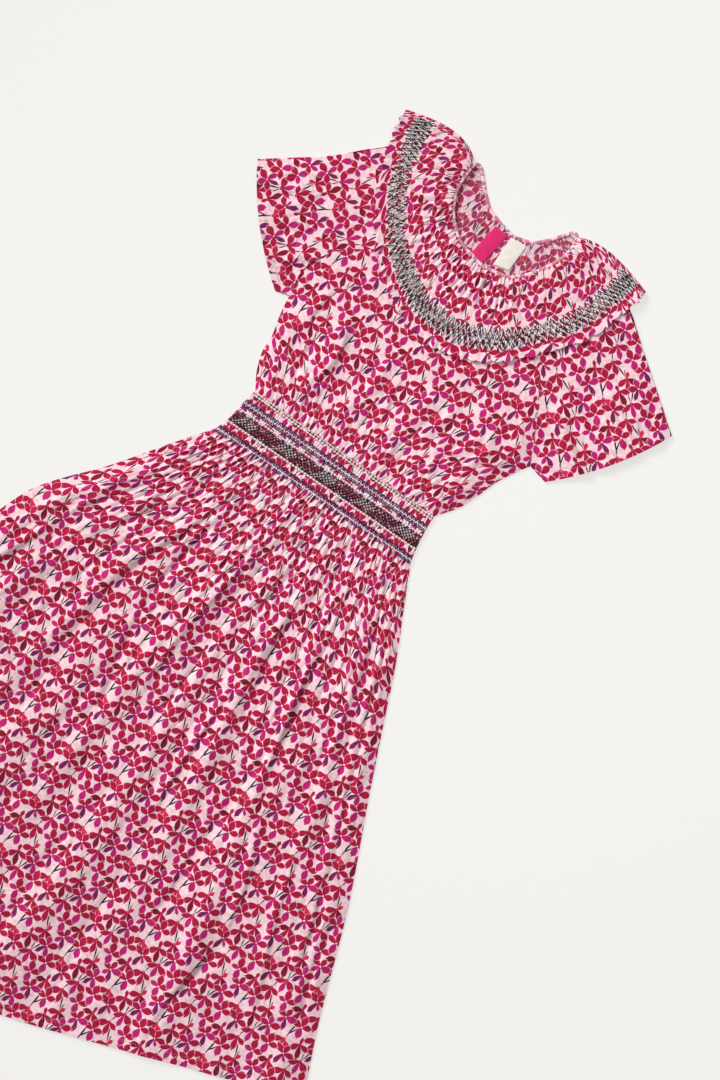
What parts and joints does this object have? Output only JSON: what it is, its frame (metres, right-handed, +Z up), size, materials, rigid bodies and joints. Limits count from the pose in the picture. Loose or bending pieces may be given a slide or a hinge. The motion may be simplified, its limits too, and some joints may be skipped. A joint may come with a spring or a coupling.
{
  "type": "smocked dress, laid flat",
  "caption": "Short-sleeved dress laid flat, with a gathered round smocked collar, a smocked waist band and a gathered flared skirt.",
  "frame": {"origin": "on the ground below the middle of the whole dress", "axes": "+Y from the hem to the neck, +X to the right of the front as seen from above, +Z up"},
  "size_m": [0.959, 1.3149, 0.0121],
  "materials": {
    "printed_cloth": "fine matt cotton, crimson and magenta flowers on pale pink",
    "smocked_band": "pleated print held by rows of white, navy and purple stitching",
    "smocked_collar": "gathered print with a black and white zigzag smocked band",
    "bound_edge": "matt bias binding of the print",
    "facing_cloth": "plain hot pink cotton",
    "label_tape": "plain cream woven tape, blank"
  },
  "bodies": {
    "root": {"skirt_front": "printed_cloth", "skirt_back": "printed_cloth", "waistband_front": "smocked_band", "waistband_back": "smocked_band", "bodice_front": "printed_cloth", "bodice_back": "printed_cloth", "sleeve_left": "printed_cloth", "sleeve_right": "printed_cloth", "collar_front": "smocked_collar", "collar_back": "smocked_collar", "neck_binding": "bound_edge", "placket_facing": "facing_cloth", "blank_label": "label_tape"}
  },
  "joints": []
}
